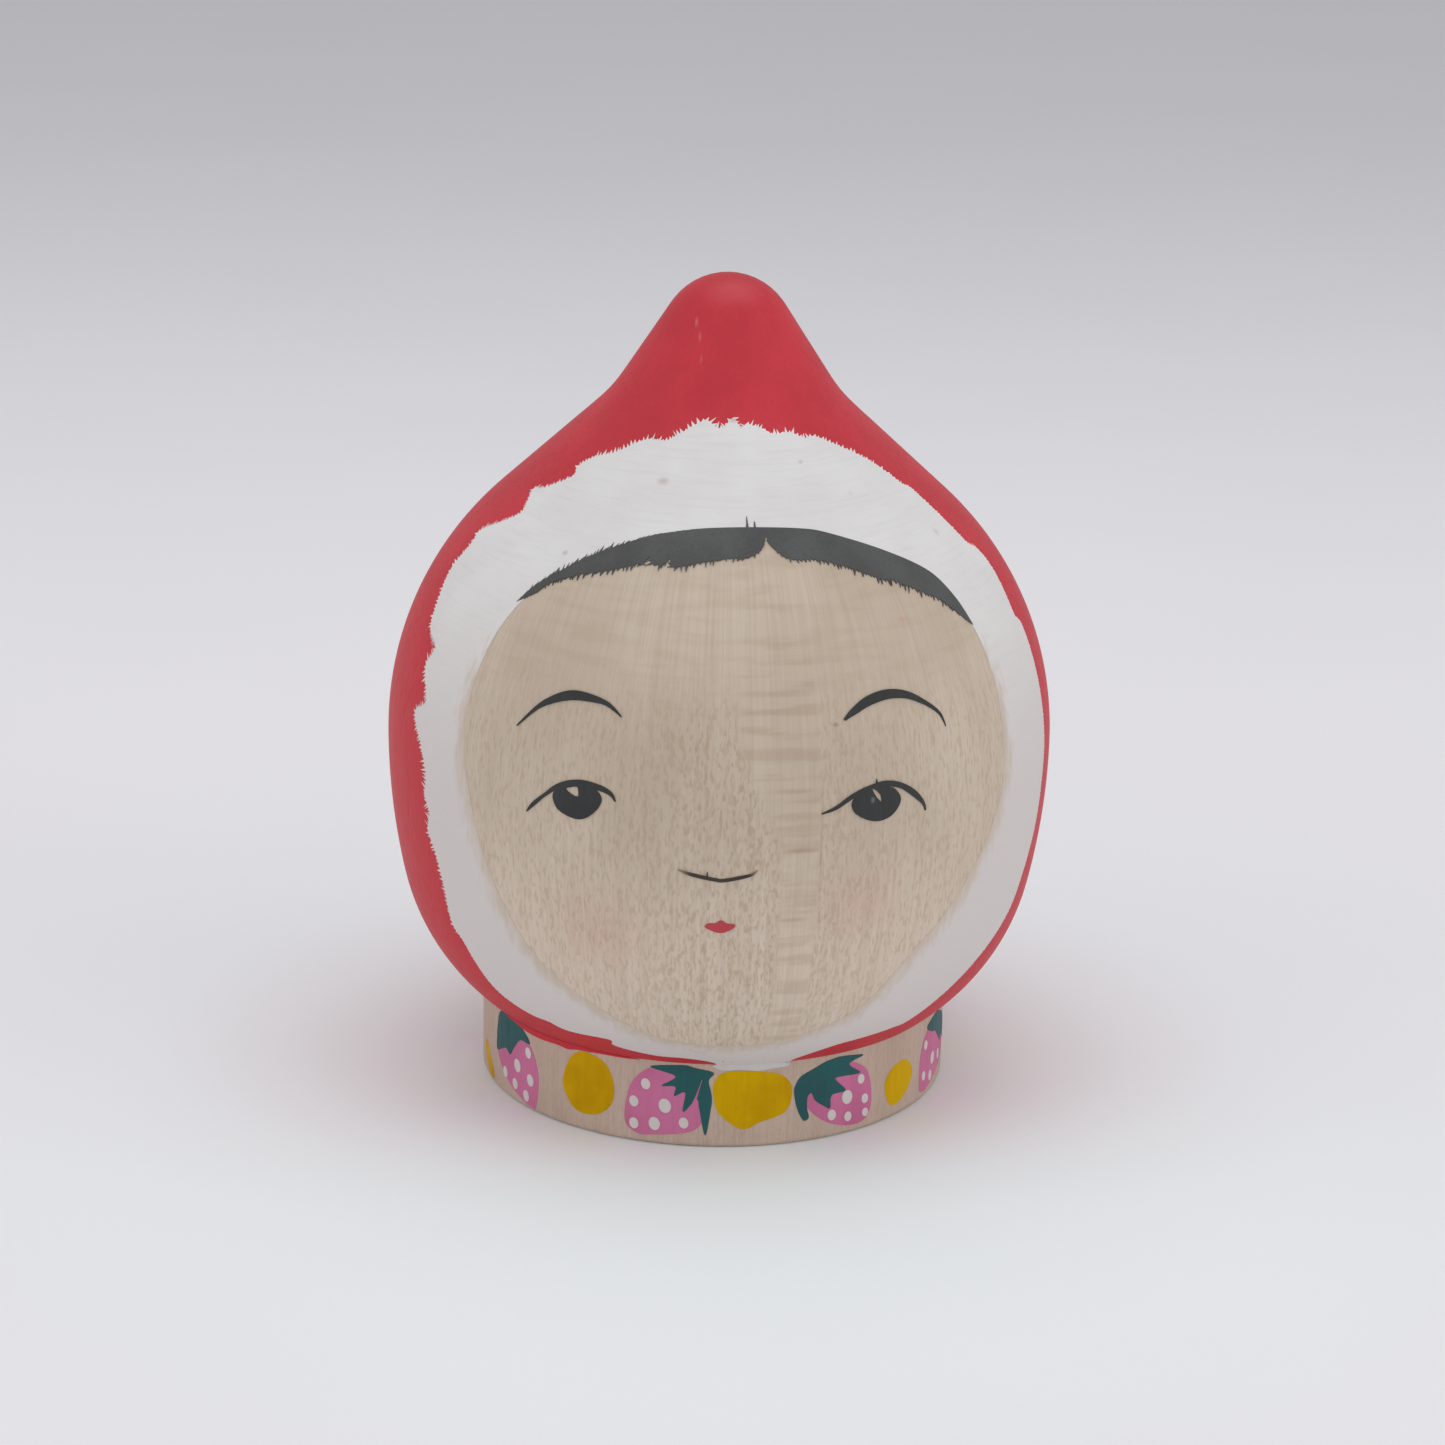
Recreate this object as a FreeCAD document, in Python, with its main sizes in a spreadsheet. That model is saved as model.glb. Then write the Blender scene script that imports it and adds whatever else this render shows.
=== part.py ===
import FreeCAD, Part
import math
import os

import Sketcher

# A kokeshi doll: a ball head with a peaked hood, turned in one piece, that swivels on a short collar.
# Millimetres, +Z up, the floor at Z = 0, the turning axis on Z, and the face towards -Y.
# Every piece is a body of revolution, so each profile is drawn on XZ with its radius along X.

DIMENSIONS = {
    "total_height": (74.4, "floor to the tip of the hood"),
    "ball_radius": (30.0, "widest radius of the head"),
    "ball_height": (32.5, "height of the widest part above the floor"),
    "tip_radius": (6.0, "rounded tip of the hood"),
    "upper_slope": (33.0, "degrees from upright, just under the tip"),
    "hollow_radius": (14.5, "hollow curve where the peak runs into the ball"),
    "lower_slope": (47.3, "degrees from upright, from the hollow to the shoulder"),
    "shoulder_radius": (29.4, "curve from the lower slope to the widest part"),
    "cheek_radius": (60.0, "flatter curve under the widest part"),
    "chin_radius": (20.0, "curve that tucks the head in to the collar"),
    "collar_radius": (21.3, "collar, and the foot of the head above it"),
    "collar_height": (8.0, "collar, and the height of the seam"),
    "foot_round": (0.5, "rounded lower edge of the collar"),
    "peg_radius": (6.0, "neck peg"),
    "peg_depth": (18.0, "length of the peg that is glued in the head"),
    "peg_chamfer": (0.8, "edges of the peg"),
    "drill_point": (118.0, "degrees, the drilled end of the bore in the head"),
    "swivel_clearance": (0.05, "radial gap between the peg and the mouth of the socket"),
    "button_radius": (6.9, "swelling at the foot of the peg, which holds the head on"),
    "button_gap": (0.25, "gap round the button inside the collar"),
    "mouth_depth": (2.0, "straight mouth of the socket that the peg turns in"),
    "socket_floor": (2.2, "wood left under the socket"),
}

SHEET = "Dimensions"
HORIZONTAL_AXIS = -1
VERTICAL_AXIS = -2
START, END, CENTRE = 1, 2, 3

document = FreeCAD.newDocument("kokeshi_doll")


# ---------------------------------------------------------------- helpers

def make_sheet():
    """The driving dimensions, one row each: name, value, meaning."""
    sheet = document.addObject("Spreadsheet::Sheet", SHEET)
    for row, (name, (value, meaning)) in enumerate(DIMENSIONS.items(), start=1):
        sheet.set(f"A{row}", name)
        sheet.set(f"B{row}", str(value))
        sheet.setAlias(f"B{row}", name)
        sheet.set(f"C{row}", meaning)
    document.recompute()
    return sheet


def size(name):
    """The number that the sheet holds, for a first drawing that the constraints then take over."""
    return float(document.getObject(SHEET).get(name))


def make_body(label):
    body = document.addObject("PartDesign::Body", label)
    body.Label = label
    body.Placement = FreeCAD.Placement()
    return body


def profile_sketch(body, name):
    """An empty sketch on the body's own XZ plane."""
    planes = [item for item in body.Origin.OriginFeatures if item.Role == "XZ_Plane"]
    sketch = body.newObject("Sketcher::SketchObject", name)
    sketch.AttachmentSupport = [(planes[0], "")]
    sketch.MapMode = "FlatFace"
    return sketch


def line(start, end):
    return Part.LineSegment(FreeCAD.Vector(*start, 0), FreeCAD.Vector(*end, 0))


def arc(centre, radius, first_degrees, last_degrees):
    circle = Part.Circle(FreeCAD.Vector(*centre, 0), FreeCAD.Vector(0, 0, 1), radius)
    return Part.ArcOfCircle(circle, math.radians(first_degrees), math.radians(last_degrees))


def on_circle(centre, radius, degrees):
    angle = math.radians(degrees)
    return (centre[0] + radius * math.cos(angle), centre[1] + radius * math.sin(angle))


def constrain(sketch, kind, *places):
    """A constraint without a size."""
    sketch.addConstraint(Sketcher.Constraint(kind, *places))


def measure(sketch, kind, *places, expression):
    """A constraint whose size is bound to the sheet."""
    value = getattr(sketch.evalExpression(expression), "Value", sketch.evalExpression(expression))
    if kind == "Angle":
        value = math.radians(value)
    index = sketch.addConstraint(Sketcher.Constraint(kind, *places, value))
    sketch.setExpression(f"Constraints[{index}]", expression)


def height_of(sketch, geometry, point, expression):
    measure(sketch, "DistanceY", HORIZONTAL_AXIS, START, geometry, point, expression=expression)


def radius_of(sketch, geometry, point, expression):
    measure(sketch, "DistanceX", HORIZONTAL_AXIS, START, geometry, point, expression=expression)


def turned(body, sketch, name, kind="PartDesign::Revolution"):
    """A full turn of the sketch about its vertical axis, added as a Revolution or cut as a Groove."""
    feature = body.newObject(kind, name)
    feature.Profile = sketch
    feature.ReferenceAxis = (sketch, ["V_Axis"])
    feature.Angle = 360
    document.recompute()
    return feature


def bored(body, sketch, name):
    """A groove that must have taken wood away."""
    before = body.Shape.Volume
    feature = turned(body, sketch, name, "PartDesign::Groove")
    if not body.Shape.Volume < before - 1.0:
        raise RuntimeError(f"{name} cut nothing out of {body.Label}")
    return feature


def draw_closed_outline(sketch, points):
    """Straight lines from point to point and back to the first, joined end to end.
    The outline starts and ends on the turning axis, and its last line runs along that axis."""
    count = len(points)
    for index, start in enumerate(points):
        sketch.addGeometry(line(start, points[(index + 1) % count]), False)
    for index in range(count):
        constrain(sketch, "Coincident", index, END, (index + 1) % count, START)
    constrain(sketch, "PointOnObject", 0, START, VERTICAL_AXIS)
    constrain(sketch, "PointOnObject", count - 1, START, VERTICAL_AXIS)


# ---------------------------------------------------------------- collar

def make_collar():
    """The short drum that the doll stands on, with an undercut socket for the peg's button."""
    body = make_body("collar")
    radius, height = size("collar_radius"), size("collar_height")

    outline = profile_sketch(body, "CollarOutline")
    draw_closed_outline(outline, [(0, 0), (radius, 0), (radius, height), (0, height)])
    constrain(outline, "Horizontal", 0)
    constrain(outline, "Vertical", 1)
    constrain(outline, "Horizontal", 2)
    constrain(outline, "PointOnObject", 0, END, HORIZONTAL_AXIS)
    radius_of(outline, 0, END, f"{SHEET}.collar_radius")
    height_of(outline, 1, END, f"{SHEET}.collar_height")
    drum = turned(body, outline, "CollarDrum")

    foot = body.newObject("PartDesign::Fillet", "FootRound")
    foot.Base = (drum, rim_edges(drum, radius, 0.0))
    foot.setExpression("Radius", f"{SHEET}.foot_round")
    document.recompute()

    mouth = size("peg_radius") + size("swivel_clearance")
    chamber = size("button_radius") + size("button_gap")
    floor = size("socket_floor")
    mouth_foot = height - size("mouth_depth")
    chamber_top = mouth_foot - (chamber - mouth)
    socket = profile_sketch(body, "SocketOutline")
    draw_closed_outline(socket, [
        (0, floor), (chamber, floor), (chamber, chamber_top), (mouth, mouth_foot), (mouth, height), (0, height),
    ])
    constrain(socket, "Horizontal", 0)
    constrain(socket, "Vertical", 1)
    constrain(socket, "Vertical", 3)
    constrain(socket, "Horizontal", 4)
    height_of(socket, 0, START, f"{SHEET}.socket_floor")
    height_of(socket, 3, END, f"{SHEET}.collar_height")
    height_of(socket, 3, START, f"{SHEET}.collar_height - {SHEET}.mouth_depth")
    radius_of(socket, 0, END, f"{SHEET}.button_radius + {SHEET}.button_gap")
    radius_of(socket, 3, START, f"{SHEET}.peg_radius + {SHEET}.swivel_clearance")
    measure(socket, "Angle", 2, expression="135 deg")
    bored(body, socket, "PegSocket")
    return body


def rim_edges(feature, radius, height):
    """Names of the circular edges of that radius at that height."""
    names = []
    for index, edge in enumerate(feature.Shape.Edges, start=1):
        curve = edge.Curve
        if isinstance(curve, Part.Circle) and abs(curve.Radius - radius) < 1e-6:
            if abs(curve.Center.z - height) < 1e-6:
                names.append(f"Edge{index}")
    return names


# ---------------------------------------------------------------- neck peg

def make_neck_peg():
    """The hardwood peg: glued into the head above the seam, with a swollen button below it that
    is caught under the mouth of the socket. The button rides clear of the socket all round."""
    body = make_body("neck_peg")
    shank, chamfer = size("peg_radius"), size("peg_chamfer")
    button, gap = size("button_radius"), size("button_gap")
    bottom = size("socket_floor") + gap
    neck_foot = size("collar_height") - size("mouth_depth") - gap
    button_top = neck_foot - (button - shank)
    top = size("collar_height") + size("peg_depth")

    outline = profile_sketch(body, "PegOutline")
    draw_closed_outline(outline, [
        (0, bottom), (button - chamfer, bottom), (button, bottom + chamfer), (button, button_top),
        (shank, neck_foot), (shank, top - chamfer), (shank - chamfer, top), (0, top),
    ])
    constrain(outline, "Horizontal", 0)
    constrain(outline, "Vertical", 2)
    constrain(outline, "Vertical", 4)
    constrain(outline, "Horizontal", 6)
    measure(outline, "Angle", 1, expression="45 deg")
    measure(outline, "Angle", 3, expression="135 deg")
    measure(outline, "Angle", 5, expression="135 deg")
    height_of(outline, 0, START, f"{SHEET}.socket_floor + {SHEET}.button_gap")
    height_of(outline, 1, END, f"{SHEET}.socket_floor + {SHEET}.button_gap + {SHEET}.peg_chamfer")
    height_of(outline, 3, END, f"{SHEET}.collar_height - {SHEET}.mouth_depth - {SHEET}.button_gap")
    height_of(outline, 6, START, f"{SHEET}.collar_height + {SHEET}.peg_depth")
    height_of(outline, 4, END, f"{SHEET}.collar_height + {SHEET}.peg_depth - {SHEET}.peg_chamfer")
    radius_of(outline, 2, START, f"{SHEET}.button_radius")
    radius_of(outline, 4, START, f"{SHEET}.peg_radius")
    turned(body, outline, "PegTurning")
    return body


# ---------------------------------------------------------------- head

def slope_lengths():
    """Lengths of the two straight slopes that bring the hood's curves from the tip to the ball."""
    upper, lower = math.radians(size("upper_slope")), math.radians(size("lower_slope"))
    tip, hollow, shoulder = size("tip_radius"), size("hollow_radius"), size("shoulder_radius")
    across = size("ball_radius") - tip * math.cos(upper)
    across -= hollow * (math.cos(upper) - math.cos(lower)) + shoulder * (1 - math.cos(lower))
    down = size("total_height") - size("ball_height") - tip * (1 - math.sin(upper))
    down -= hollow * (math.sin(lower) - math.sin(upper)) + shoulder * math.sin(lower)
    spread = math.sin(lower - upper)
    upper_length = (down * math.sin(lower) - across * math.cos(lower)) / spread
    lower_length = (across * math.cos(upper) - down * math.sin(upper)) / spread
    return upper_length, lower_length


def chin_arc():
    """Centre of the chin's curve, which touches the cheek's curve from inside and ends at the seam,
    and its first and last angle in degrees."""
    cheek, chin = size("cheek_radius"), size("chin_radius")
    cheek_centre = (size("ball_radius") - cheek, size("ball_height"))
    seam = (size("collar_radius"), size("collar_height"))
    reach = math.dist(cheek_centre, seam)
    spread = cheek - chin
    bend = math.acos((spread ** 2 + reach ** 2 - chin ** 2) / (2 * spread * reach))
    joint = math.atan2(seam[1] - cheek_centre[1], seam[0] - cheek_centre[0]) + bend
    centre = on_circle(cheek_centre, spread, math.degrees(joint))
    first = math.atan2(seam[1] - centre[1], seam[0] - centre[0])
    return centre, math.degrees(first), math.degrees(joint)


def make_head():
    """The ball head with its peaked hood, bored from below for the peg."""
    body = make_body("head")
    outline = profile_sketch(body, "HeadOutline")
    draw_head_outline(outline)
    turned(body, outline, "HeadTurning")

    shank, seat = size("peg_radius"), size("collar_height")
    shoulder = seat + size("peg_depth")
    apex = shoulder + shank / math.tan(math.radians(size("drill_point") / 2))
    bore = profile_sketch(body, "BoreOutline")
    draw_closed_outline(bore, [(0, seat), (shank, seat), (shank, shoulder), (0, apex)])
    constrain(bore, "Horizontal", 0)
    constrain(bore, "Vertical", 1)
    height_of(bore, 0, START, f"{SHEET}.collar_height")
    height_of(bore, 1, END, f"{SHEET}.collar_height + {SHEET}.peg_depth")
    radius_of(bore, 0, END, f"{SHEET}.peg_radius")
    measure(bore, "Angle", 2, expression=f"(90 + {SHEET}.drill_point / 2) * 1 deg")
    bored(body, bore, "PegBore")
    return body


def draw_head_outline(sketch):
    """Half the head's outline: tip, upper slope, hollow, lower slope, shoulder, cheek and chin,
    each running smoothly into the next, then the flat seat and the axis."""
    upper, lower = size("upper_slope"), size("lower_slope")
    tip_centre = (0, size("total_height") - size("tip_radius"))
    ball = (size("ball_radius"), size("ball_height"))
    shoulder_centre = (ball[0] - size("shoulder_radius"), ball[1])
    cheek_centre = (ball[0] - size("cheek_radius"), ball[1])
    chin_centre, chin_first, chin_last = chin_arc()
    upper_length, lower_length = slope_lengths()

    tip_foot = on_circle(tip_centre, size("tip_radius"), upper)
    hollow_top = on_circle(tip_foot, upper_length, upper - 90)
    hollow_centre = on_circle(hollow_top, size("hollow_radius"), upper)
    hollow_foot = on_circle(hollow_centre, size("hollow_radius"), lower + 180)
    shoulder_top = on_circle(hollow_foot, lower_length, lower - 90)
    seam = (size("collar_radius"), size("collar_height"))
    seat_middle = (0, seam[1])

    pieces = [
        arc(tip_centre, size("tip_radius"), upper, 90),
        line(hollow_top, tip_foot),
        arc(hollow_centre, size("hollow_radius"), upper + 180, lower + 180),
        line(shoulder_top, hollow_foot),
        arc(shoulder_centre, size("shoulder_radius"), 0, lower),
        arc(cheek_centre, size("cheek_radius"), chin_last, 0),
        arc(chin_centre, size("chin_radius"), chin_first, chin_last),
        line(seam, seat_middle),
        line(seat_middle, (0, size("total_height"))),
    ]
    tip, upper_line, hollow, lower_line, shoulder, cheek, chin, seat, axis = range(len(pieces))
    for piece in pieces:
        sketch.addGeometry(piece, False)

    constrain(sketch, "PointOnObject", tip, CENTRE, VERTICAL_AXIS)
    constrain(sketch, "PointOnObject", tip, END, VERTICAL_AXIS)
    constrain(sketch, "Tangent", tip, START, upper_line, END)
    constrain(sketch, "Tangent", upper_line, START, hollow, START)
    constrain(sketch, "Tangent", hollow, END, lower_line, END)
    constrain(sketch, "Tangent", lower_line, START, shoulder, END)
    constrain(sketch, "Tangent", shoulder, START, cheek, END)
    constrain(sketch, "Tangent", cheek, START, chin, END)
    constrain(sketch, "Coincident", chin, START, seat, START)
    constrain(sketch, "Coincident", seat, END, axis, START)
    constrain(sketch, "Coincident", axis, END, tip, END)
    constrain(sketch, "Horizontal", seat)
    constrain(sketch, "PointOnObject", axis, START, VERTICAL_AXIS)
    constrain(sketch, "Horizontal", shoulder, CENTRE, shoulder, START)

    measure(sketch, "Radius", tip, expression=f"{SHEET}.tip_radius")
    measure(sketch, "Radius", hollow, expression=f"{SHEET}.hollow_radius")
    measure(sketch, "Radius", shoulder, expression=f"{SHEET}.shoulder_radius")
    measure(sketch, "Radius", cheek, expression=f"{SHEET}.cheek_radius")
    measure(sketch, "Radius", chin, expression=f"{SHEET}.chin_radius")
    measure(sketch, "Angle", upper_line, expression=f"(90 + {SHEET}.upper_slope) * 1 deg")
    measure(sketch, "Angle", lower_line, expression=f"(90 + {SHEET}.lower_slope) * 1 deg")
    height_of(sketch, tip, END, f"{SHEET}.total_height")
    height_of(sketch, shoulder, START, f"{SHEET}.ball_height")
    radius_of(sketch, shoulder, START, f"{SHEET}.ball_radius")
    height_of(sketch, chin, START, f"{SHEET}.collar_height")
    radius_of(sketch, chin, START, f"{SHEET}.collar_radius")


# ---------------------------------------------------------------- build, check and write

def check_document(bodies):
    """Raises unless every object recomputed, every sketch is fully held and every body is one sound solid."""
    for item in document.Objects:
        if "Invalid" in item.State or "Error" in item.State:
            raise RuntimeError(f"{item.Name} did not recompute: {item.State}")
        if item.isDerivedFrom("Sketcher::SketchObject") and not item.FullyConstrained:
            raise RuntimeError(f"{item.Name} is not fully constrained")
    for body in bodies:
        shape = body.Shape
        if shape.isNull() or not shape.isValid() or len(shape.Solids) != 1:
            raise RuntimeError(f"{body.Label} is not one sound solid")


def main():
    make_sheet()
    bodies = [make_collar(), make_neck_peg(), make_head()]
    document.recompute()
    check_document(bodies)
    os.makedirs("parts", exist_ok=True)
    for body in bodies:
        body.Shape.exportStep(os.path.join("parts", f"{body.Label}.step"))
        print(f"{body.Label}: {body.Shape.Volume:.1f} mm3")


main()
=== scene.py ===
"""A kokeshi doll on a plain pale floor.

The turned wood is the CAD model's own. The paint is added here: each colour is a thin closed film that
follows the turned surface. Outlines are given in degrees round the axis (0 at the front, positive to the
viewer's right) and millimetres above the floor.
"""

import math
import random

import bpy
import numpy as np
from mathutils import Matrix, Vector
from mathutils.geometry import delaunay_2d_cdt
from mathutils.kdtree import KDTree


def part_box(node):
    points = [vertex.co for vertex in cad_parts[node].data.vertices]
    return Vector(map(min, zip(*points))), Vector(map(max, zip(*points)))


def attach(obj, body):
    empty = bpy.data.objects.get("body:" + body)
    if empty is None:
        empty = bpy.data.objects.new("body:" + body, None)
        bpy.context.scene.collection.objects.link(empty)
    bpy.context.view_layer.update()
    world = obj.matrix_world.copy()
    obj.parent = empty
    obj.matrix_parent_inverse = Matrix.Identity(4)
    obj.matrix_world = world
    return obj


MM = 0.001
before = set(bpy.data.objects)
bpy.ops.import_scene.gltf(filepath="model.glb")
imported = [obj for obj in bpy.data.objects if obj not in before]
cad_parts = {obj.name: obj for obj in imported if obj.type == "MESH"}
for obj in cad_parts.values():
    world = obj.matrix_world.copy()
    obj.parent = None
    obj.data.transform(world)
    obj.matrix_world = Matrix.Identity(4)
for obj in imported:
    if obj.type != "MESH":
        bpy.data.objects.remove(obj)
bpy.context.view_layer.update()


# ---------------------------------------------------------------- turned surfaces

class Turned:
    """A surface turned about Z, addressed by azimuth in degrees and distance down its profile in mm."""

    def __init__(self, radii, heights):
        self.radii = np.asarray(radii, float)
        self.heights = np.asarray(heights, float)
        steps = np.hypot(np.diff(self.radii), np.diff(self.heights))
        self.along = np.concatenate(([0.0], np.cumsum(steps)))
        self.radius_slope = np.gradient(self.radii, self.along)
        self.height_slope = np.gradient(self.heights, self.along)

    def curve(self, values, slopes, along):
        """A smooth cubic through the profile's points, and its slope."""
        last = len(self.along) - 2
        i = np.clip(np.searchsorted(self.along, along, side="right") - 1, 0, last)
        step = self.along[i + 1] - self.along[i]
        f = (along - self.along[i]) / step
        rise = values[i + 1] - values[i]
        bend_in = slopes[i] * step - rise
        bend_out = rise - slopes[i + 1] * step
        value = values[i] + f * rise + f * (1 - f) * ((1 - f) * bend_in + f * bend_out)
        slope = rise + (1 - 2 * f) * ((1 - f) * bend_in + f * bend_out) + f * (1 - f) * (bend_out - bend_in)
        return value, slope / step

    def radius(self, along):
        return self.curve(self.radii, self.radius_slope, np.asarray(along, float))[0]

    def at_height(self, height):
        """Distance down the profile at a height above the floor."""
        return np.interp(-np.asarray(height, float), -self.heights, self.along)

    def place(self, azimuth, along, lift):
        """Points in mm, lifted off the surface along its normals, and those normals."""
        turn = np.radians(azimuth)
        radius, outward = self.curve(self.radii, self.radius_slope, along)
        height, upward = self.curve(self.heights, self.height_slope, along)
        length = np.hypot(outward, upward)
        normal_out, normal_up = -upward / length, outward / length
        ray = np.stack((np.sin(turn), -np.cos(turn)), axis=-1)
        normals = np.column_stack((ray * normal_out[:, None], normal_up))
        points = np.column_stack((ray * radius[:, None], height))
        return points + lift * normals, normals


class Ball(Turned):
    """A turned surface that closes at its top: its flat chart is a disc round the tip."""

    def chart(self, azimuth, along):
        turn = np.radians(azimuth)
        return np.column_stack((along * np.sin(turn), -along * np.cos(turn)))

    def unchart(self, flat):
        return np.degrees(np.arctan2(flat[:, 0], -flat[:, 1])), np.hypot(flat[:, 0], flat[:, 1])


class Drum(Turned):
    """A turned surface that is open at its top: its flat chart is the unrolled wall."""

    def chart(self, azimuth, along):
        return np.column_stack((np.radians(azimuth) * self.radii[0], -along))

    def unchart(self, flat):
        return np.degrees(flat[:, 0] / self.radii[0]), -flat[:, 1]


BORE_MARGIN = 1.1  # how much wider than the peg's box its bore may be
LEAST_STEP = 0.1  # mm between two points of the profile


def read_ball(node, hidden):
    """The outer profile of a CAD node, from its tip down. What lies inside the radius of the hidden
    piece's box, and under the node's middle, is its bore."""
    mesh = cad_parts[node].data
    points = np.empty(3 * len(mesh.vertices))
    mesh.vertices.foreach_get("co", points)
    points = points.reshape(-1, 3) / MM
    radii = np.hypot(points[:, 0], points[:, 1])
    low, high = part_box(node)
    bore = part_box(hidden)[1][0] / MM * BORE_MARGIN
    middle = (low[2] + high[2]) / 2 / MM
    outer = (radii > bore) | (points[:, 2] > middle)
    pairs = np.unique(np.round(np.column_stack((-points[outer, 2], radii[outer])), 3), axis=0)
    keep = [0]
    for index in range(1, len(pairs)):
        if np.hypot(*(pairs[index] - pairs[keep[-1]])) > LEAST_STEP:
            keep.append(index)
    return Ball(pairs[keep, 1], -pairs[keep, 0])


def read_drum(node):
    """The straight wall of a CAD node, from its box."""
    low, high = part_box(node)
    radius = high[0] / MM
    return Drum([radius, radius], [high[2] / MM, low[2] / MM])


head = read_ball("head", hidden="neck_peg")
collar = read_drum("collar")


# ---------------------------------------------------------------- outlines

def smooth(points, closed=True, step=0.25, scale=24.0):
    """Points every step mm or so along a smooth curve through the given (azimuth, height, ...) points."""
    points = np.asarray(points, float)
    count = len(points)
    rows = []
    for i in range(count if closed else count - 1):
        ends = [i - 1, i, i + 1, i + 2]
        ends = [e % count for e in ends] if closed else [min(max(e, 0), count - 1) for e in ends]
        before, start, end, after = (points[e] for e in ends)
        reach = math.hypot(math.radians(end[0] - start[0]) * scale, end[1] - start[1])
        pieces = max(2, round(reach / step))
        bend = 2 * before - 5 * start + 4 * end - after
        twist = 3 * start - before - 3 * end + after
        for f in np.arange(pieces) / pieces:
            rows.append(0.5 * (2 * start + (end - before) * f + bend * f ** 2 + twist * f ** 3))
    if not closed:
        rows.append(points[-1])
    return np.array(rows)


def on_surface(surface, points):
    """The same outline in azimuth and distance down the profile."""
    points = np.asarray(points, float)
    return np.column_stack((points[:, 0], surface.at_height(points[:, 1])))


def shift(surface, path, sideways, outward):
    """Moves points along and across their path by true millimetres on the surface."""
    radius = surface.radius(path[:, 1])
    across = np.radians(np.gradient(path[:, 0])) * radius
    down = np.gradient(path[:, 1])
    length = np.hypot(across, down)
    across, down = across / length, down / length
    east = across * sideways + down * outward
    south = down * sideways - across * outward
    return np.column_stack((path[:, 0] + np.degrees(east / radius), path[:, 1] + south))


def lengths(surface, path):
    """Distance along a path in true millimetres."""
    radius = surface.radius(path[:, 1])
    across = np.radians(np.diff(path[:, 0])) * radius[1:]
    return np.concatenate(([0.0], np.cumsum(np.hypot(across, np.diff(path[:, 1])))))


def ragged(surface, path, depths, tooth, gap, lean, seed, side=1.0):
    """An edge of brush tufts thrown out from a smooth path: the depth in mm is given at each point of the
    path, tooth and gap are the usual widths of a tuft and of the plain edge between two, and lean says
    how far along its width a tip stands, below 0 or above 1 for a tip that hangs past its own foot."""
    rng = random.Random(seed)
    along = lengths(surface, path)
    stops, offsets = [], []
    place = gap * rng.random()
    while place < along[-1] - 2 * tooth:
        width = tooth * rng.uniform(0.6, 1.5)
        depth = np.interp(place, along, depths) * rng.triangular(0.1, 2.0, 0.6)
        stops += [place, place + width * lean * rng.uniform(0.8, 1.2), place + width]
        offsets += [0.0, depth, -0.15 * depth * rng.random()]
        place += width + gap * rng.uniform(0.1, 2.2)
    stops, offsets = np.array(stops), np.array(offsets)
    rows = np.interp(stops, along, np.arange(len(path)))
    low = np.clip(np.floor(rows).astype(int), 0, len(path) - 2)
    f = (rows - low)[:, None]
    feet = path[low] * (1 - f) + path[low + 1] * f
    tangent = path[low + 1] - path[low]
    radius = surface.radius(feet[:, 1])
    across, down = np.radians(tangent[:, 0]) * radius, tangent[:, 1]
    length = np.hypot(across, down)
    east, south = down / length * offsets * side, -across / length * offsets * side
    return np.column_stack((feet[:, 0] + np.degrees(east / radius), feet[:, 1] + south))


def stroke(surface, points, step=0.2):
    """The outline of one brush stroke, from (azimuth, height, width) points along its middle."""
    line = smooth(points, closed=False, step=step)
    middle = on_surface(surface, line[:, :2])
    half = np.maximum(line[:, 2], 0.02) / 2
    one, other = shift(surface, middle, 0, half), shift(surface, middle, 0, -half)
    return np.vstack((one, other[::-1]))


def blob(surface, points, step=0.25):
    """A smooth closed shape through (azimuth, height) points."""
    return on_surface(surface, smooth(points, step=step))


def spot(surface, azimuth, height, wide, tall, tilt=0.0, count=20):
    """An ellipse of true millimetres on the surface, turned by tilt degrees."""
    angles = np.linspace(0, 2 * math.pi, count, endpoint=False)
    x, y = np.cos(angles) * wide / 2, np.sin(angles) * tall / 2
    lean = math.radians(tilt)
    across = x * math.cos(lean) - y * math.sin(lean)
    up = x * math.sin(lean) + y * math.cos(lean)
    centre = surface.at_height(height)
    radius = surface.radius(centre)
    return np.column_stack((azimuth + np.degrees(across / radius), centre - up))


# ---------------------------------------------------------------- paint films

LAYER = 0.02  # mm from one coat of paint to the next
ROOT = -0.04  # mm from the wood to a film's underside, which lies inside the wood
GRID = 0.7  # mm between the points that carry a film over the curve
EDGE_GAP = 0.35  # share of the grid's spacing that its points keep off an edge
THINNING = 0.55  # share of a film's thickness lost where it is thinnest

# The coats, counted up from the wood. The hood's half coat keeps its wide film clear of the curved wood.
HOOD_COAT, DOT_COAT, LEAF_COAT, TRIM_COAT, FACE_COAT, HAIR_COAT = 0.5, 0, 1, 2, 3, 4
SEED_COAT, RUN_COAT = 2, 3


def inside(points, loop):
    """Which points lie inside a closed loop, by counting crossings."""
    x, y = points[:, 0], points[:, 1]
    result = np.zeros(len(points), bool)
    ends = np.roll(loop, -1, axis=0)
    for (x0, y0), (x1, y1) in zip(loop, ends):
        if y0 != y1:
            crosses = (y0 > y) != (y1 > y)
            result ^= crosses & (x < (x1 - x0) * (y - y0) / (y1 - y0) + x0)
    return result


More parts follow.
